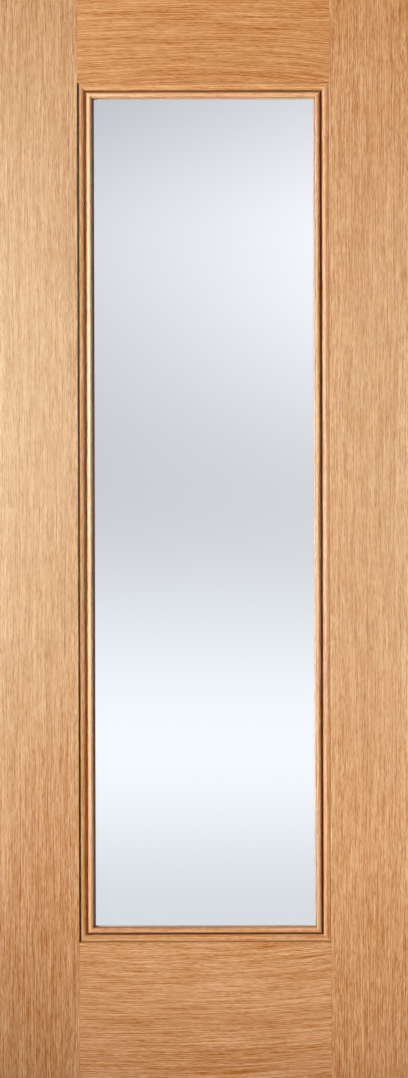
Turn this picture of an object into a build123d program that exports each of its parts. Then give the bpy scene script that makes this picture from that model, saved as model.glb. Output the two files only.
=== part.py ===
"""Internal glazed door leaf: oak-faced stiles and rails round one tall light.

Millimetres, +Z up. The origin is at the foot of the hinge edge, half way through the
thickness. The leaf runs along +X from the hinge edge, and its front faces -Y.
"""

import os

from build123d import *

# Leaf
LEAF_W = 762.0
LEAF_H = 1981.0
LEAF_T = 35.0

# Frame members, measured to the edge of the opening
STILE_W = 150.0
TOP_RAIL_H = 155.0
BOTTOM_RAIL_H = 250.0
LIPPING_W = 10.0

# Oak facings glued over cores and lippings
FACING_T = 2.5
ARRIS_R = 1.2
JOINT_V = 0.4

# Linings of the opening, with a canted margin and an ovolo towards each face
LINING_W = 15.0
LINING_MARGIN = 7.0
MARGIN_FALL = 0.9

# Half-round glazing beads on both faces
BEAD_W = 13.0
BEAD_RISE = 6.0

# Pane, bedded on tape
GLASS_T = 4.0
GLASS_CLEARANCE = 2.5
TAPE_T = 1.0
TAPE_W = 9.0
TAPE_SIGHT = 1.7

core_t = LEAF_T - 2 * FACING_T
opening_w = LEAF_W - 2 * STILE_W
opening_h = LEAF_H - TOP_RAIL_H - BOTTOM_RAIL_H
opening_top = LEAF_H - TOP_RAIL_H
right_joint = LEAF_W - STILE_W
light_centre = Vector(LEAF_W / 2, 0, BOTTOM_RAIL_H + opening_h / 2)
ovolo_r = LINING_W - LINING_MARGIN
ovolo_foot = core_t / 2 - ovolo_r
bead_seat = GLASS_T / 2 + TAPE_T

# Where each member of the frame lies on the face: x from, x to, z from, z to
members = {
    "left_stile": (0, STILE_W, 0, LEAF_H),
    "right_stile": (right_joint, LEAF_W, 0, LEAF_H),
    "top_rail": (STILE_W, right_joint, opening_top, LEAF_H),
    "bottom_rail": (STILE_W, right_joint, 0, BOTTOM_RAIL_H),
}


def slab(x0, x1, z0, z1, thickness):
    """A board centred in the thickness of the leaf."""
    middle = Pos((x0 + x1) / 2, 0, (z0 + z1) / 2)
    return middle * Box(x1 - x0, thickness, z1 - z0)


def in_light(inset, thickness):
    """A sheet in the middle of the opening, its edges set in from the opening's."""
    width = opening_w - 2 * inset
    height = opening_h - 2 * inset
    return Pos(light_centre) * Box(width, thickness, height)


def mitred_set(section, inset, width):
    """Four bars of one section round the light, mitred, with their backs set in from the opening.

    The section is drawn with x from the bar's back towards the glass and y towards the front.
    """
    across = opening_w - 2 * inset
    upright = opening_h - 2 * inset
    sides = {
        "left": (upright, (-across / 2, 0, 0), (0, 0, -1)),
        "right": (upright, (across / 2, 0, 0), (0, 0, 1)),
        "top": (across, (0, 0, upright / 2), (-1, 0, 0)),
        "bottom": (across, (0, 0, -upright / 2), (1, 0, 0)),
    }
    bars = {}
    for side, (run, offset, along) in sides.items():
        bar = extrude(Plane.YZ * section, run / 2, both=True)
        plan = Polygon(
            (-run / 2, 0),
            (run / 2, 0),
            (run / 2 - width, width),
            (-run / 2 + width, width),
            align=None,
        )
        bar &= extrude(plan, LEAF_T, both=True)
        place = Plane(light_centre + Vector(*offset), x_dir=along, z_dir=(0, -1, 0))
        bars[side] = place * bar
    return bars


pieces = {}

# Cores and lippings
pieces["left_stile_core"] = slab(LIPPING_W, STILE_W, 0, LEAF_H, core_t)
pieces["right_stile_core"] = slab(right_joint, LEAF_W - LIPPING_W, 0, LEAF_H, core_t)
pieces["top_rail_core"] = slab(*members["top_rail"], core_t)
pieces["bottom_rail_core"] = slab(*members["bottom_rail"], core_t)
pieces["hinge_edge_lipping"] = slab(0, LIPPING_W, 0, LEAF_H, core_t)
pieces["lock_edge_lipping"] = slab(LEAF_W - LIPPING_W, LEAF_W, 0, LEAF_H, core_t)

# Facings: one sheet with the opening cut out, its arrises rounded and its joints scored, then parted
sheet = Pos(LEAF_W / 2, -(core_t + FACING_T) / 2, LEAF_H / 2) * Box(LEAF_W, FACING_T, LEAF_H)
sheet -= in_light(0, LEAF_T)
face = sheet.faces().sort_by(Axis.Y)[0]
arrises = face.inner_wires()[0].edges() + face.outer_wire().edges().filter_by(Axis.Z)
sheet = fillet(arrises, ARRIS_R)
score = Polygon((-JOINT_V, 0), (JOINT_V, 0), (0, JOINT_V), align=None)
for joint_x in (STILE_W, right_joint):
    for foot_z, rail_h in ((0, BOTTOM_RAIL_H), (opening_top, TOP_RAIL_H)):
        sheet -= Pos(joint_x, -LEAF_T / 2, foot_z) * extrude(score, rail_h)
for name, zone in members.items():
    facing = sheet & slab(*zone, LEAF_T)
    pieces[f"front_{name}_facing"] = facing
    pieces[f"back_{name}_facing"] = mirror(facing, about=Plane.XZ)

# Linings: a margin that falls towards the facing, then a quarter-round ovolo down to a flat face for the beads
ovolo_top = (LINING_MARGIN, core_t / 2)
ovolo_end = (LINING_W, ovolo_foot)
ovolo = RadiusArc(ovolo_top, ovolo_end, ovolo_r)
margin_low = (0, core_t / 2 - MARGIN_FALL)
lining_half = make_face(
    [
        *Polyline(ovolo_end, (LINING_W, 0), (0, 0), margin_low, ovolo_top).edges(),
        ovolo,
    ]
)
lining_section = lining_half + mirror(lining_half, about=Plane.XZ)
for side, bar in mitred_set(lining_section, 0, LINING_W).items():
    pieces[f"{side}_lining"] = bar

# Beads: half-round over a square foot, bedded on the tape and against the lining
bead_section = make_face(
    [
        *Polyline((0, ovolo_foot), (0, bead_seat), (BEAD_W, bead_seat), (BEAD_W, ovolo_foot)).edges(),
        ThreePointArc((BEAD_W, ovolo_foot), (BEAD_W / 2, ovolo_foot + BEAD_RISE), (0, ovolo_foot)),
    ]
)
for side, bar in mitred_set(bead_section, LINING_W, BEAD_W).items():
    pieces[f"front_{side}_bead"] = bar
    pieces[f"back_{side}_bead"] = mirror(bar, about=Plane.XZ)

# Pane and tape
pieces["glass_pane"] = in_light(LINING_W + GLASS_CLEARANCE, GLASS_T)
tape_inner = LINING_W + BEAD_W + TAPE_SIGHT
tape = in_light(tape_inner - TAPE_W, TAPE_T) - in_light(tape_inner, TAPE_T)
tape_y = (GLASS_T + TAPE_T) / 2
pieces["front_glazing_tape"] = Pos(0, -tape_y, 0) * tape
pieces["back_glazing_tape"] = Pos(0, tape_y, 0) * tape

os.makedirs("parts", exist_ok=True)
for name, shape in pieces.items():
    export_step(shape, f"parts/{name}.step")
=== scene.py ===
import math
import bpy
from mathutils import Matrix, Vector


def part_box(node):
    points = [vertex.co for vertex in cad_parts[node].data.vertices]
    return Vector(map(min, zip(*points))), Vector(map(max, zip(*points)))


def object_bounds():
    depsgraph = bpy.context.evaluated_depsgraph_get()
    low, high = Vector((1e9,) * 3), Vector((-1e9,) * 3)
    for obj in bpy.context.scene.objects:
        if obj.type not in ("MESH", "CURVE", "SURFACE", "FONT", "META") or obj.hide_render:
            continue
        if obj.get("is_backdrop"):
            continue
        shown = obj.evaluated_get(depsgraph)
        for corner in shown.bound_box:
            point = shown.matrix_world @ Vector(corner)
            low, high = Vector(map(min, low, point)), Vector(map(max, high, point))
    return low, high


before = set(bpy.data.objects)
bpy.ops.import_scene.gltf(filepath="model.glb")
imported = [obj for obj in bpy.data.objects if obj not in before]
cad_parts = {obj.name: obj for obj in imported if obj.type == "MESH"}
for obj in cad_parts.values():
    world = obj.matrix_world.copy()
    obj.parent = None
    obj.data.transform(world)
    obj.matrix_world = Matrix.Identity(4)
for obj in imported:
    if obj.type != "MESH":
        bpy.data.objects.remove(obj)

cad_low, cad_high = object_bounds()


# The cores are softwood staves glued side by side, two uprights and two rails dowelled into a frame.
# They carry the leaf and are hidden by the oak, except on the leaf's top and bottom edges,
# where the uprights show sawn end grain and the rails show planed long grain.
PINE_PALE = (0.74, 0.52, 0.28, 1.0)
PINE_DARK = (0.50, 0.29, 0.12, 1.0)
PINE_GLUE = (0.24, 0.13, 0.06, 1.0)
PINE_GLOSS = 0.25
STAVE_WIDTH = 0.036
RING_SPACING = 0.0034
HEART_SPREAD = (0.16, 0.09, 0.0)
HEART_NEAREST = (-0.08, -0.10, 0.0)
SAWN_SPECKLE = (1800.0, 1800.0, 1800.0)
PLANED_SPECKLE = (60.0, 1500.0, 1500.0)
PLANED_GRAIN = (4.0, 260.0, 260.0)


def add_node(tree, kind, inputs=None, **settings):
    made = tree.nodes.new(kind)
    for name, value in settings.items():
        setattr(made, name, value)
    for name, value in (inputs or {}).items():
        if isinstance(value, bpy.types.NodeSocket):
            tree.links.new(value, made.inputs[name])
        else:
            made.inputs[name].default_value = value
    return made


def mix_colours(tree, share, first, second):
    made = add_node(
        tree, "ShaderNodeMix", {0: share, 6: first, 7: second},
        data_type="RGBA", blend_type="MIX", clamp_factor=False,
    )
    return made.outputs[2]


def reckon(tree, operation, first, second=0.0, third=0.0):
    made = add_node(tree, "ShaderNodeMath", {0: first, 1: second, 2: third}, operation=operation)
    return made.outputs[0]


def reckon_vector(tree, operation, first, second=(0.0, 0.0, 0.0), third=(0.0, 0.0, 0.0)):
    made = add_node(
        tree, "ShaderNodeVectorMath", {0: first, 1: second, 2: third}, operation=operation
    )
    return made.outputs["Value"] if operation == "LENGTH" else made.outputs["Vector"]


def speckled(tree, vector, scale, detail):
    made = add_node(tree, "ShaderNodeTexNoise", {"Vector": vector, "Scale": scale, "Detail": detail})
    return made.outputs["Fac"]


def ramp_between(tree, value, low, high):
    made = add_node(
        tree, "ShaderNodeMapRange", {"Value": value, "From Min": low, "From Max": high},
        interpolation_type="SMOOTHSTEP",
    )
    return made.outputs["Result"]


def new_finish(name):
    finish = bpy.data.materials.new(name)
    finish.use_nodes = True
    tree = finish.node_tree
    shader = tree.nodes["Principled BSDF"]
    return finish, tree, shader


def roughen(tree, shader, height, strength, distance):
    bump = add_node(
        tree, "ShaderNodeBump", {"Strength": strength, "Distance": distance, "Height": height}
    )
    tree.links.new(bump.outputs["Normal"], shader.inputs["Normal"])


def dress(piece, finish):
    piece.data.materials.clear()
    piece.data.materials.append(finish)


def pine_finish(name, end_grain):
    finish, tree, shader = new_finish(name)
    spot = add_node(tree, "ShaderNodeTexCoord").outputs["Object"]
    axes = add_node(tree, "ShaderNodeSeparateXYZ", {0: spot}).outputs
    # where in its stave a point lies, from 0 at one glue line to 1 at the next
    stave = reckon(tree, "DIVIDE", axes["X"] if end_grain else axes["Y"], STAVE_WIDTH)
    stave_number = reckon(tree, "FLOOR", stave)
    in_stave = reckon(tree, "FRACT", stave)
    if end_grain:
        # growth rings seen on the sawn end, each stave cut from its own tree
        stave_seed = add_node(
            tree, "ShaderNodeTexWhiteNoise", {"W": stave_number}, noise_dimensions="1D"
        ).outputs["Color"]
        heart = reckon_vector(tree, "MULTIPLY_ADD", stave_seed, HEART_SPREAD, HEART_NEAREST)
        from_heart = reckon_vector(tree, "SUBTRACT", spot, heart)
        on_the_end = reckon_vector(tree, "MULTIPLY", from_heart, (1.0, 1.0, 0.0))
        radius = reckon_vector(tree, "LENGTH", on_the_end)
        rings = reckon(tree, "FRACT", reckon(tree, "DIVIDE", radius, RING_SPACING))
        late_wood = ramp_between(tree, rings, 0.45, 0.95)
    else:
        late_wood = speckled(tree, reckon_vector(tree, "MULTIPLY", spot, PLANED_GRAIN), 1.0, 3.0)
    fine = reckon_vector(tree, "MULTIPLY", spot, SAWN_SPECKLE if end_grain else PLANED_SPECKLE)
    speckle = speckled(tree, fine, 1.0, 2.0)
    wood = mix_colours(tree, late_wood, PINE_PALE, PINE_DARK)
    wood = mix_colours(tree, reckon(tree, "MULTIPLY", speckle, 0.5), wood, PINE_DARK)
    glue_near = reckon(tree, "ABSOLUTE", reckon(tree, "SUBTRACT", in_stave, 0.5))
    glue_line = ramp_between(tree, glue_near, 0.488, 0.496)
    wood = mix_colours(tree, glue_line, wood, PINE_GLUE)
    tree.links.new(wood, shader.inputs["Base Color"])
    tree.links.new(reckon(tree, "MULTIPLY_ADD", speckle, 0.2, 0.58), shader.inputs["Roughness"])
    roughen(tree, shader, reckon(tree, "SUBTRACT", speckle, glue_line), strength=0.5, distance=0.0003)
    shader.inputs["Specular IOR Level"].default_value = PINE_GLOSS
    return finish


sawn_ends = pine_finish("pine_staves_sawn_ends", end_grain=True)
planed_edge = pine_finish("pine_staves_planed_edge", end_grain=False)
for name in ("left_stile_core", "right_stile_core"):
    dress(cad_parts[name], sawn_ends)
for name in ("top_rail_core", "bottom_rail_core"):
    dress(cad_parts[name], planed_edge)


# The lippings are solid oak strips glued down both long edges and planed flush with the facings.
# They cover the core where the hinges and the lock are let in, and their grain runs the door's height.
# The hinge edge is painted a shade darker, painted shade against the lamps that rake it, and has less
# lacquer.
OAK_PALE = (0.808, 0.428, 0.206)
OAK_DARK = (0.512, 0.167, 0.009)
OAK_PORE = (0.370, 0.070, 0.001)
# how often each layer of the grain changes in a metre: across the grain, through the board, along the grain
TONE = (14.0, 14.0, 0.9)
BANDS = (75.0, 75.0, 1.5)
LONG_STREAKS = (1250.0, 1250.0, 2.7)
STREAKS = (1200.0, 1200.0, 9.0)
FLECKS = (1280.0, 1280.0, 34.0)
TICKS = (1340.0, 1340.0, 100.0)
PORES = (1400.0, 1400.0, 100.0)
DRIFT = (5.0, 5.0, 2.2)
TREMBLE = (45.0, 45.0, 16.0)
TREMBLE_SWING = 0.0022
LIPPING_WANDER = 0.006
HINGE_EDGE_PAINTED_SHADE = (0.9, 0.9, 0.9)
HINGE_EDGE_GLOSS = 0.08


def new_group(name, inputs, outputs):
    tree = bpy.data.node_groups.new(name, "ShaderNodeTree")
    for in_out, sockets in (("INPUT", inputs), ("OUTPUT", outputs)):
        for kind, labels in sockets:
            for label in labels:
                tree.interface.new_socket(label, in_out=in_out, socket_type="NodeSocket" + kind)
    given = tree.nodes.new("NodeGroupInput").outputs
    result = tree.nodes.new("NodeGroupOutput").inputs
    return tree, given, result


def build_oak_grain():
    """Straight-grained oak: X of Board runs across the grain, Y through it and Z along it, in metres."""
    tree, given, result = new_group(
        "oak_grain",
        inputs=(
            ("Vector", ("Board",)),
            ("Float", ("Seed", "Wander", "Bow", "Fan", "Lines", "Dashes", "Pores")),
            ("Color", ("Pale", "Dark", "Pore")),
        ),
        outputs=(("Color", ("Color",)), ("Float", ("Roughness", "Height"))),
    )

    def layer(vector, stretch, detail=1.0):
        # each layer is shifted by its own amount, so that no two of them repeat or pause at the same place
        shift = tuple(0.37 + 0.61 * part % 7.3 for part in stretch)
        stretched = reckon_vector(tree, "MULTIPLY_ADD", vector, stretch, shift)
        made = add_node(
            tree, "ShaderNodeTexNoise",
            {"Vector": stretched, "W": given["Seed"], "Scale": 1.0, "Detail": detail, "Roughness": 0.5},
            noise_dimensions="4D",
        )
        return reckon(tree, "SUBTRACT", made.outputs["Fac"], 0.5)

    axes = add_node(tree, "ShaderNodeSeparateXYZ", {0: given["Board"]}).outputs
    # the fibres drift slowly from side to side, tremble a little, and may bow, more so on one side
    drift = reckon(tree, "MULTIPLY", layer(given["Board"], DRIFT, 2.0), given["Wander"])
    tremble = reckon(tree, "MULTIPLY", layer(given["Board"], TREMBLE), TREMBLE_SWING)
    bend = reckon(tree, "MULTIPLY_ADD", axes["X"], given["Fan"], given["Bow"])
    bow = reckon(tree, "MULTIPLY", reckon(tree, "MULTIPLY", axes["Z"], axes["Z"]), bend)
    across = reckon(tree, "ADD", reckon(tree, "ADD", axes["X"], drift), reckon(tree, "ADD", tremble, bow))
    fibre = add_node(
        tree, "ShaderNodeCombineXYZ", {"X": across, "Y": axes["Y"], "Z": axes["Z"]}
    ).outputs[0]
    bands = layer(fibre, BANDS, 2.0)
    streaks = layer(fibre, STREAKS)
    ground = reckon(tree, "MULTIPLY_ADD", bands, 0.25, reckon(tree, "MULTIPLY", layer(fibre, TONE), 0.3))
    lines = reckon(tree, "MULTIPLY", streaks, 3.1)
    lines = reckon(tree, "MULTIPLY_ADD", layer(fibre, LONG_STREAKS), 1.7, lines)
    dashes = reckon(tree, "MULTIPLY", layer(fibre, TICKS), 2.6)
    dashes = reckon(tree, "MULTIPLY_ADD", layer(fibre, FLECKS), 2.6, dashes)
    figure = reckon(tree, "MULTIPLY_ADD", lines, given["Lines"], reckon(tree, "ADD", ground, 0.5))
    figure = reckon(tree, "MULTIPLY_ADD", dashes, given["Dashes"], figure)
    figure = add_node(tree, "ShaderNodeClamp", {"Value": figure, "Min": -0.4, "Max": 1.4}).outputs[0]
    wood = mix_colours(tree, figure, given["Dark"], given["Pale"])
    # open pores lie thickest in the darker bands
    open_pores = reckon(tree, "MULTIPLY_ADD", bands, -0.25, layer(fibre, PORES))
    open_pores = ramp_between(tree, open_pores, 0.06, 0.24)
    wood = mix_colours(tree, reckon(tree, "MULTIPLY", open_pores, given["Pores"]), wood, given["Pore"])
    tree.links.new(wood, result["Color"])
    tree.links.new(reckon(tree, "MULTIPLY_ADD", open_pores, 0.12, 0.53), result["Roughness"])
    tree.links.new(reckon(tree, "MULTIPLY_ADD", open_pores, -0.8, streaks), result["Height"])
    return tree


oak_grain = build_oak_grain()


def oak_finish(
    name, seed, level=False, wander=0.016, bow=0.0, fan=0.0, lines=0.78, dashes=1.0, pores=0.22,
    gloss=0.35, tone=(1.0, 1.0, 1.0), middle=(0.0, 0.0, 0.0),
):
    """Lacquered oak with its grain upright, or level; tone makes one board paler or darker than another."""
    finish, tree, shader = new_finish(name)
    spot = add_node(tree, "ShaderNodeTexCoord").outputs["Object"]
    board = reckon_vector(tree, "SUBTRACT", spot, middle)
    if level:
        axes = add_node(tree, "ShaderNodeSeparateXYZ", {0: board}).outputs
        board = add_node(
            tree, "ShaderNodeCombineXYZ", {"X": axes["Z"], "Y": axes["Y"], "Z": axes["X"]}
        ).outputs[0]
    grain = add_node(tree, "ShaderNodeGroup", node_tree=oak_grain)
    tree.links.new(board, grain.inputs["Board"])
    for label, value in (
        ("Seed", seed), ("Wander", wander), ("Bow", bow), ("Fan", fan),
        ("Lines", lines), ("Dashes", dashes), ("Pores", pores),
    ):
        grain.inputs[label].default_value = value
    for label, colour in (("Pale", OAK_PALE), ("Dark", OAK_DARK), ("Pore", OAK_PORE)):
        toned = [share * channel for share, channel in zip(tone, colour)]
        grain.inputs[label].default_value = (*toned, 1.0)
    tree.links.new(grain.outputs["Color"], shader.inputs["Base Color"])
    tree.links.new(grain.outputs["Roughness"], shader.inputs["Roughness"])
    roughen(tree, shader, grain.outputs["Height"], strength=0.35, distance=0.0002)
    shader.inputs["Specular IOR Level"].default_value = gloss
    return finish


hinge_edge_oak = oak_finish(
    "oak_lipping_hinge_edge", 3.4, wander=LIPPING_WANDER, gloss=HINGE_EDGE_GLOSS, tone=HINGE_EDGE_PAINTED_SHADE
)
dress(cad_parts["hinge_edge_lipping"], hinge_edge_oak)
lock_edge_oak = oak_finish("oak_lipping_lock_edge", 11.4, wander=LIPPING_WANDER)
dress(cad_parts["lock_edge_lipping"], lock_edge_oak)


# The facings are sawn oak leaves glued over the core, four to a side: two full-height stiles and the
# rails fitted between them. The grain runs up the stiles and across the rails, with a fine V at each joint.
# The faces are sanded along the grain and finished with a clear satin lacquer.
FACING_FIGURE = {
    "front_left_stile_facing": dict(seed=21.4, tone=(0.885, 0.893, 0.868)),
    "front_right_stile_facing": dict(seed=34.4, tone=(0.985, 0.992, 0.960)),
    "front_top_rail_facing": dict(
        seed=47.4, level=True, wander=0.02, bow=0.165, fan=-1.9, lines=0.88, dashes=0.70,
        gloss=0.20, tone=(1.02, 0.975, 0.87),
    ),
    "front_bottom_rail_facing": dict(
        seed=58.4, level=True, wander=0.02, bow=-0.146, lines=0.84, dashes=0.70,
        tone=(1.02, 1.05, 1.09),
    ),
    "back_left_stile_facing": dict(seed=63.4),
    "back_right_stile_facing": dict(seed=72.4),
    "back_top_rail_facing": dict(seed=85.4, level=True, wander=0.03, bow=-0.06),
    "back_bottom_rail_facing": dict(seed=96.4, level=True, wander=0.03, bow=0.05),
}
# a bowed board's fibres turn at its crown, which may lie this far along from the board's middle
CROWN_FROM_MIDDLE = {"front_top_rail_facing": -0.03, "front_bottom_rail_facing": -0.08}
for name, figure in FACING_FIGURE.items():
    low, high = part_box(name)
    crown = Vector((CROWN_FROM_MIDDLE.get(name, 0.0), 0.0, 0.0))
    finish = oak_finish("oak_" + name, middle=tuple((low + high) / 2 + crown), **figure)
    dress(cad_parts[name], finish)


# The linings are solid oak mouldings, mitred into a frame round the glazed opening and pinned to the core.
# Each has a margin that falls towards the facing and a quarter-round ovolo down to the foot of the beads.
# The crease against the facing and the valley against the beads are painted darker: painted shade, stronger
# on some sides than others to follow how the light falls.
SIDES = ("left", "right", "top", "bottom")
LEVEL_SIDES = ("top", "bottom")
# each side's mouldings carry a painted light tone: darker on the right, painted shade where the margin turns
# from the raking lamp, and paler along the top, a painted highlight
MOULDING_PAINTED_LIGHT = {"left": 0.96, "right": 0.91, "top": 1.14, "bottom": 1.04}
MOULDING_LINES = 0.8
MOULDING_DASHES = 0.7
LINING_WIDTH = 0.015
LINING_GLOSS = {"left": 0.08, "right": 0.50, "top": 0.30, "bottom": 0.25}
LINING_WANDER = 0.006
LINING_SEED = 110.4
LINING_SEED_STEP = 7.0
# the dark brown of the painted shade laid in the creases, the valleys and along the beads' feet
PAINTED_SHADE = (0.075, 0.020, 0.002, 1.0)
PAINTED_SHADE_CORE = 0.55
CREASE_REACH = 0.0042
CREASE_PAINTED_SHADE = {"left": 0.97, "right": 0.30, "top": 0.20, "bottom": 0.50}
VALLEY_PAINTED_SHADE = {"left": 0.0, "right": 0.88, "top": 0.65, "bottom": 0.75}
LINING_VALLEY_REACH = 0.0017


def build_painted_shade():
    """Paints shade on wood near a corner that lies Corner metres in from the opening, from Clean to Reach
    away.
    """
    tree, given, result = new_group(
        "painted_corner_shade",
        inputs=(
            ("Color", ("Wood", "PaintedShade")),
            ("Float", ("Across", "Corner", "Clean", "Reach", "Depth")),
        ),
        outputs=(("Color", ("Color",)),),
    )
    away = reckon(tree, "ABSOLUTE", reckon(tree, "SUBTRACT", given["Across"], given["Corner"]))
    full_to = reckon(tree, "MULTIPLY", given["Reach"], PAINTED_SHADE_CORE)
    shaded = reckon(tree, "SUBTRACT", 1.0, ramp_between(tree, away, full_to, given["Reach"]))
    shaded = reckon(tree, "MULTIPLY", shaded, reckon(tree, "GREATER_THAN", away, given["Clean"]))
    share = reckon(tree, "MULTIPLY", shaded, given["Depth"])
    tree.links.new(mix_colours(tree, share, given["Wood"], given["PaintedShade"]), result["Color"])
    return tree


painted_corner_shade = build_painted_shade()


def paint_corner_shade(finish, side, corner, reach, depth, clean=0.0):
    """Lays painted shade along a corner of one side's moulding, so many metres in from the opening."""
    tree = finish.node_tree
    base = tree.nodes["Principled BSDF"].inputs["Base Color"]
    low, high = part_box(f"{side}_lining")
    axis, edge, inward = {
        "left": ("X", low.x, 1.0),
        "right": ("X", high.x, -1.0),
        "top": ("Z", high.z, -1.0),
        "bottom": ("Z", low.z, 1.0),
    }[side]
    spot = add_node(tree, "ShaderNodeTexCoord").outputs["Object"]
    place = add_node(tree, "ShaderNodeSeparateXYZ", {0: spot}).outputs[axis]
    across = reckon(tree, "MULTIPLY_ADD", place, inward, -inward * edge)
    shade_node = add_node(tree, "ShaderNodeGroup", node_tree=painted_corner_shade)
    tree.links.new(base.links[0].from_socket, shade_node.inputs["Wood"])
    tree.links.new(across, shade_node.inputs["Across"])
    for label, value in (
        ("Corner", corner), ("Clean", clean), ("Reach", reach), ("Depth", depth), ("PaintedShade", PAINTED_SHADE),
    ):
        shade_node.inputs[label].default_value = value
    tree.links.new(shade_node.outputs["Color"], base)


for number, side in enumerate(SIDES):
    finish = oak_finish(
        f"oak_{side}_lining", LINING_SEED + LINING_SEED_STEP * number, level=side in LEVEL_SIDES,
        wander=LINING_WANDER, lines=MOULDING_LINES, dashes=MOULDING_DASHES,
        gloss=LINING_GLOSS[side], tone=(MOULDING_PAINTED_LIGHT[side],) * 3,
    )
    paint_corner_shade(finish, side, 0.0, CREASE_REACH, CREASE_PAINTED_SHADE[side])
    paint_corner_shade(finish, side, LINING_WIDTH, LINING_VALLEY_REACH, VALLEY_PAINTED_SHADE[side])
    dress(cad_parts[f"{side}_lining"], finish)


# The glazing beads are half-round oak, four to a side, mitred at the corners and pinned to the linings.
# They press on the tape and hold the pane from the front and from the back. Shade is painted in the
# valley against the lining and along the bead's foot, but not on its upright side towards the glass.
BEAD_WIDTH = 0.013
BEAD_GLOSS = {"left": 0.65, "right": 0.40, "top": 1.00, "bottom": 0.80}
BEAD_WANDER = 0.005
BEAD_SEED = 150.4
BEAD_SEED_STEP = 9.0
BEAD_VALLEY_REACH = 0.0036
FOOT_REACH = 0.0019
FOOT_CLEAN = 0.00012
# painted shade along each bead's foot, stronger on the side the light leaves in shadow
FOOT_PAINTED_SHADE = {"left": 0.95, "right": 0.85, "top": 0.50, "bottom": 0.65}
SIGHT_EDGE = LINING_WIDTH + BEAD_WIDTH
for number, (face, side) in enumerate((face, side) for face in ("front", "back") for side in SIDES):
    finish = oak_finish(
        f"oak_{face}_{side}_bead", BEAD_SEED + BEAD_SEED_STEP * number, level=side in LEVEL_SIDES,
        wander=BEAD_WANDER, lines=MOULDING_LINES, dashes=MOULDING_DASHES,
        gloss=BEAD_GLOSS[side], tone=(MOULDING_PAINTED_LIGHT[side],) * 3,
    )
    paint_corner_shade(finish, side, LINING_WIDTH, BEAD_VALLEY_REACH, VALLEY_PAINTED_SHADE[side])
    paint_corner_shade(finish, side, SIGHT_EDGE, FOOT_REACH, FOOT_PAINTED_SHADE[side], clean=FOOT_CLEAN)
    dress(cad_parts[f"{face}_{side}_bead"], finish)


# The glazing tapes are thin strips of pale buff foam stuck round the pane's rim on both faces, so that
# the beads bed on something soft. Only a thin line of them shows at the sight edge, and down the left side
# it is painted darker, a painted shadow of the bead.
TAPE_PALE = (0.62, 0.51, 0.40, 1.0)
TAPE_WORN = (0.50, 0.40, 0.30, 1.0)
TAPE_PAINTED_SHADOW = 0.85
TAPE_PAINTED_SHADOW_REACH = 0.004
TAPE_GLOSS = 0.3
FOAM_CELLS = 900.0
foam, tree, shader = new_finish("pale_glazing_foam")
spot = add_node(tree, "ShaderNodeTexCoord").outputs["Object"]
cells = speckled(tree, spot, FOAM_CELLS, 3.0)
tree.links.new(mix_colours(tree, cells, TAPE_PALE, TAPE_WORN), shader.inputs["Base Color"])
tree.links.new(reckon(tree, "MULTIPLY_ADD", cells, 0.2, 0.7), shader.inputs["Roughness"])
roughen(tree, shader, cells, strength=0.4, distance=0.0002)
shader.inputs["Specular IOR Level"].default_value = TAPE_GLOSS
# painted shadow of the left bead, laid on the tape down the left side
paint_corner_shade(foam, "left", SIGHT_EDGE, TAPE_PAINTED_SHADOW_REACH, TAPE_PAINTED_SHADOW)
for name in ("front_glazing_tape", "back_glazing_tape"):
    dress(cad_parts[name], foam)


# The pane is one sheet of clear toughened glass, set in the middle of the leaf's thickness with room round
# its edges, and held between the two sets of beads. Its faces are faintly uneven from the furnace rollers.
# Lamps shine through it on to the leaf and the floor.
GLASS_TINT = (0.985, 0.993, 0.992, 1.0)
GLASS_SHADE = (0.9, 0.92, 0.915, 1.0)
GLASS_IOR = 1.5
ROLLER_WAVES = (1.2, 1.0, 4.0)
HAZE_PATCHES = 14.0
HAZE = 0.02
glass, tree, shader = new_finish("clear_toughened_glass")
shader.inputs["Base Color"].default_value = GLASS_TINT
shader.inputs["Transmission Weight"].default_value = 1.0
shader.inputs["IOR"].default_value = GLASS_IOR
spot = add_node(tree, "ShaderNodeTexCoord").outputs["Object"]
roller_wave = speckled(tree, reckon_vector(tree, "MULTIPLY", spot, ROLLER_WAVES), 1.0, 1.0)
haze = speckled(tree, spot, HAZE_PATCHES, 3.0)
tree.links.new(reckon(tree, "MULTIPLY", haze, HAZE), shader.inputs["Roughness"])
roughen(tree, shader, roller_wave, strength=0.1, distance=0.0004)
is_shadow = add_node(tree, "ShaderNodeLightPath").outputs["Is Shadow Ray"]
clear = add_node(tree, "ShaderNodeBsdfTransparent", {"Color": GLASS_SHADE})
pane = add_node(tree, "ShaderNodeMixShader", {0: is_shadow, 1: shader.outputs[0], 2: clear.outputs[0]})
tree.links.new(pane.outputs[0], tree.nodes["Material Output"].inputs["Surface"])
dress(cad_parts["glass_pane"], glass)


# The floor is a round pale disc of painted board under the leaf. It is as pale as the backdrop where no lamp
# reaches it, and fades out into the backdrop before its rim.
FLOOR_RADIUS = 2.6
FLOOR_BELOW = 0.001
FLOOR_PALE = (0.70, 0.74, 0.77, 1.0)
FLOOR_SCUFF = (0.60, 0.64, 0.67, 1.0)
FLOOR_ROUGHNESS = 0.8
FLOOR_GLOSS = 0.1
FLOOR_FADES = (0.9, 2.548)
GLOW_NEAR = 0.55
GLOW_FAR = 0.93
GLOW_RISES = (0.5, 1.7)
RIM_POINTS = 96
middle_x = (cad_low.x + cad_high.x) / 2
rim = []
for number in range(RIM_POINTS):
    turn = 2 * math.pi * number / RIM_POINTS
    x = middle_x + FLOOR_RADIUS * math.cos(turn)
    rim.append((x, FLOOR_RADIUS * math.sin(turn), cad_low.z - FLOOR_BELOW))
floor_mesh = bpy.data.meshes.new("studio_floor")
floor_mesh.from_pydata(rim, [], [tuple(range(RIM_POINTS))])
floor = bpy.data.objects.new("studio_floor", floor_mesh)
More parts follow.
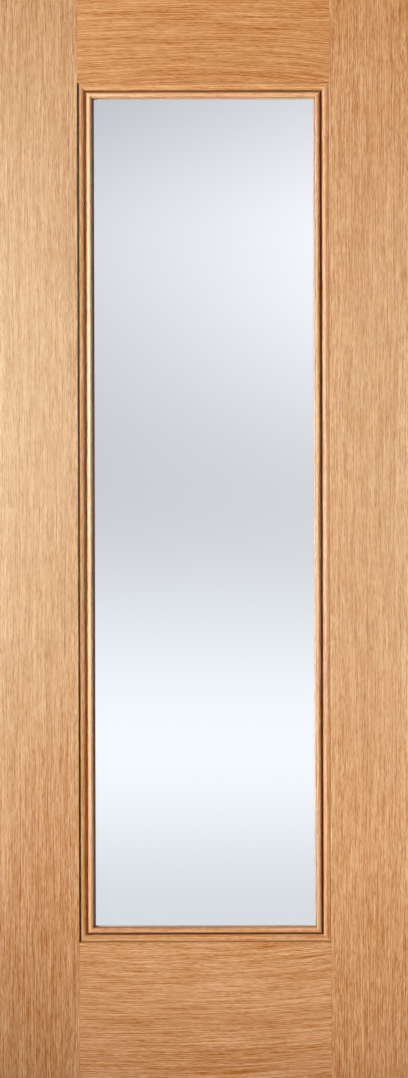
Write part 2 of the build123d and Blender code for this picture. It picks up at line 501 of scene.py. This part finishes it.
bpy.context.scene.collection.objects.link(floor)


def shown_to_eye(tree):
    """1 for what the camera, glossy surfaces and glass see, and 0 for light that falls on the leaf."""
    rays = add_node(tree, "ShaderNodeLightPath").outputs
    through = reckon(tree, "MAXIMUM", rays["Is Glossy Ray"], rays["Is Transmission Ray"])
    return reckon(tree, "MAXIMUM", rays["Is Camera Ray"], through)


floor_paint, tree, shader = new_finish("pale_floor_paint")
spot = add_node(tree, "ShaderNodeTexCoord").outputs["Object"]
from_leaf = reckon_vector(tree, "LENGTH", reckon_vector(tree, "SUBTRACT", spot, (middle_x, 0.0, 0.0)))
scuffs = reckon(tree, "MULTIPLY", speckled(tree, spot, 6.0, 4.0), 0.1)
tree.links.new(mix_colours(tree, scuffs, FLOOR_PALE, FLOOR_SCUFF), shader.inputs["Base Color"])
shader.inputs["Roughness"].default_value = FLOOR_ROUGHNESS
shader.inputs["Specular IOR Level"].default_value = FLOOR_GLOSS
away = ramp_between(tree, from_leaf, *GLOW_RISES)
level = reckon(tree, "MULTIPLY_ADD", away, GLOW_FAR - GLOW_NEAR, GLOW_NEAR)
glow = add_node(tree, "ShaderNodeEmission", {"Color": FLOOR_PALE, "Strength": level})
no_glow = add_node(tree, "ShaderNodeEmission", {"Strength": 0.0})
shown = shown_to_eye(tree)
seen = add_node(tree, "ShaderNodeMixShader", {0: shown, 1: no_glow.outputs[0], 2: glow.outputs[0]})
lit = add_node(tree, "ShaderNodeAddShader", {0: shader.outputs[0], 1: seen.outputs[0]})
gone = add_node(tree, "ShaderNodeBsdfTransparent")
fade = ramp_between(tree, from_leaf, *FLOOR_FADES)
faded = add_node(tree, "ShaderNodeMixShader", {0: fade, 1: lit.outputs[0], 2: gone.outputs[0]})
tree.links.new(faded.outputs[0], tree.nodes["Material Output"].inputs["Surface"])
dress(floor, floor_paint)
floor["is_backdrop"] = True


# The backdrop is what the camera and the glass see all round, softly banded in height. The upper half is a
# little brighter to the right. The rest of the light in the room is a low even fill.
BACKDROP_FOOT = -0.0887
BACKDROP_HEAD = 0.1122
BACKDROP_BANDS = (
    (0.000, (0.687, 0.723, 0.768, 1.0)),
    (0.203, (0.913, 0.956, 0.991, 1.0)),
    (0.495, (0.638, 0.658, 0.694, 1.0)),
    (0.783, (0.815, 0.823, 0.880, 1.0)),
    (1.000, (0.597, 0.597, 0.638, 1.0)),
)
LEAN = 0.12
LEAN_REACH = 0.026
LEAN_RISES = (0.33, 0.72)
FILL_LEVEL = 0.07
world = bpy.data.worlds.new("studio")
bpy.context.scene.world = world
world.use_nodes = True
tree = world.node_tree
tree.nodes.clear()
direction = add_node(tree, "ShaderNodeTexCoord").outputs["Generated"]
heading = add_node(tree, "ShaderNodeSeparateXYZ", {0: direction}).outputs
height = add_node(
    tree, "ShaderNodeMapRange",
    {"Value": heading["Z"], "From Min": BACKDROP_FOOT, "From Max": BACKDROP_HEAD},
).outputs["Result"]
bands = add_node(tree, "ShaderNodeValToRGB", {"Fac": height})
bands.color_ramp.interpolation = "EASE"
while len(bands.color_ramp.elements) < len(BACKDROP_BANDS):
    bands.color_ramp.elements.new(0.5)
for element, (place, colour) in zip(bands.color_ramp.elements, BACKDROP_BANDS):
    element.position = place
    element.color = colour
to_right = add_node(
    tree, "ShaderNodeMapRange",
    {
        "Value": heading["X"], "From Min": -LEAN_REACH, "From Max": LEAN_REACH,
        "To Min": -LEAN, "To Max": LEAN,
    },
).outputs["Result"]
level = reckon(tree, "MULTIPLY_ADD", to_right, ramp_between(tree, height, *LEAN_RISES), 1.0)
backdrop = add_node(tree, "ShaderNodeBackground", {"Color": bands.outputs["Color"], "Strength": level})
fill = add_node(tree, "ShaderNodeBackground", {"Color": (1.0, 1.0, 1.0, 1.0), "Strength": FILL_LEVEL})
shown = shown_to_eye(tree)
chosen = add_node(tree, "ShaderNodeMixShader", {0: shown, 1: fill.outputs[0], 2: backdrop.outputs[0]})
add_node(tree, "ShaderNodeOutputWorld", {"Surface": chosen.outputs[0]})


# The lamps: a hooded lamp rakes each face from the hinge side, so that the mouldings throw shadows. Three
# soft ones that show only as sheen on the lacquer lie over the front, at the left, the right and the middle,
# and two small ones in line with the leaf light its top and its lock edge.
SHEEN_COLOUR = (0.90, 1.0, 0.76)
SHEEN_TURN = 20.0
SHEEN_DISTANCE = 4.0
SHEEN_SIZE = 0.30
SHEENS = (
    dict(name="left_sheen", target=(-0.38, cad_low.y, 1.27), watts=5200.0, reach=1.12, narrow=0.70),
    dict(name="right_sheen", target=(1.08, cad_low.y, 1.10), watts=2200.0, reach=1.20, narrow=0.62),
    dict(name="middle_sheen", target=(0.38, cad_low.y, 1.30), watts=300.0, reach=1.90, narrow=1.0),
)


def to_hinge_side(turn, behind=False):
    """The way from a face to a lamp that stands turn degrees from square to it, on the hinge side."""
    angle = math.radians(turn)
    return (-math.sin(angle), math.cos(angle) if behind else -math.cos(angle), 0.0)


def stand_lamp(name, target, towards, distance, watts, reach, size, soft=1.0, narrow=1.0):
    """A hooded lamp; its light dies away reach metres from the target, or narrow times that sideways."""
    lamp = bpy.data.lights.new(name, "SPOT")
    lamp.energy = watts
    lamp.shadow_soft_size = size
    lamp.spot_size = 2.0 * math.atan(reach / distance)
    lamp.spot_blend = soft
    stand = bpy.data.objects.new(name, lamp)
    bpy.context.scene.collection.objects.link(stand)
    stand.location = Vector(target) + distance * Vector(towards)
    stand.rotation_mode = "QUATERNION"
    stand.rotation_quaternion = (Vector(target) - stand.location).to_track_quat("-Z", "Y")
    stand.scale.x = narrow
    stand.visible_camera = False
    return stand


stand_lamp(
    "front_key", target=(0.46, cad_low.y, 1.28), towards=to_hinge_side(50.0), distance=14.0,
    watts=9650.0, reach=1.61, size=0.45, soft=0.6,
)
for sheen in SHEENS:
    stand = stand_lamp(
        towards=to_hinge_side(SHEEN_TURN), distance=SHEEN_DISTANCE, size=SHEEN_SIZE, **sheen
    )
    stand.data.color = SHEEN_COLOUR
    stand.visible_diffuse = False
stand_lamp(
    "back_key", target=(0.38, cad_high.y, 1.00), towards=to_hinge_side(22.0, behind=True), distance=8.0,
    watts=1900.0, reach=2.6, size=0.25,
)
stand_lamp(
    "top_edge_lamp", target=(0.38, 0.0, 1.98), towards=(0.0, 0.0, 1.0), distance=4.0,
    watts=420.0, reach=1.2, size=0.03,
)
stand_lamp(
    "lock_edge_lamp", target=(0.76, 0.0, 1.0), towards=(1.0, 0.0, 0.0), distance=4.0,
    watts=400.0, reach=1.6, size=0.03,
)


# The camera stands square to the front face, a little below the middle of the leaf's height, and far enough
# back for the edges to stay parallel. It leans by a seventh of a degree.
CAMERA_PLACE = (0.38018, -8.0, 0.98929)
CAMERA_LEAN = 0.00256
LENS_MM = 145.419
SENSOR_MM = 36.0
camera_data = bpy.data.cameras.new("camera")
camera_data.sensor_fit = "AUTO"
camera_data.sensor_width = SENSOR_MM
camera_data.lens = LENS_MM
camera = bpy.data.objects.new("camera", camera_data)
bpy.context.scene.collection.objects.link(camera)
camera.location = CAMERA_PLACE
camera.rotation_euler = (math.pi / 2, CAMERA_LEAN, 0.0)
bpy.context.scene.camera = camera
bpy.context.scene.view_settings.view_transform = "Standard"

low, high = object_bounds()
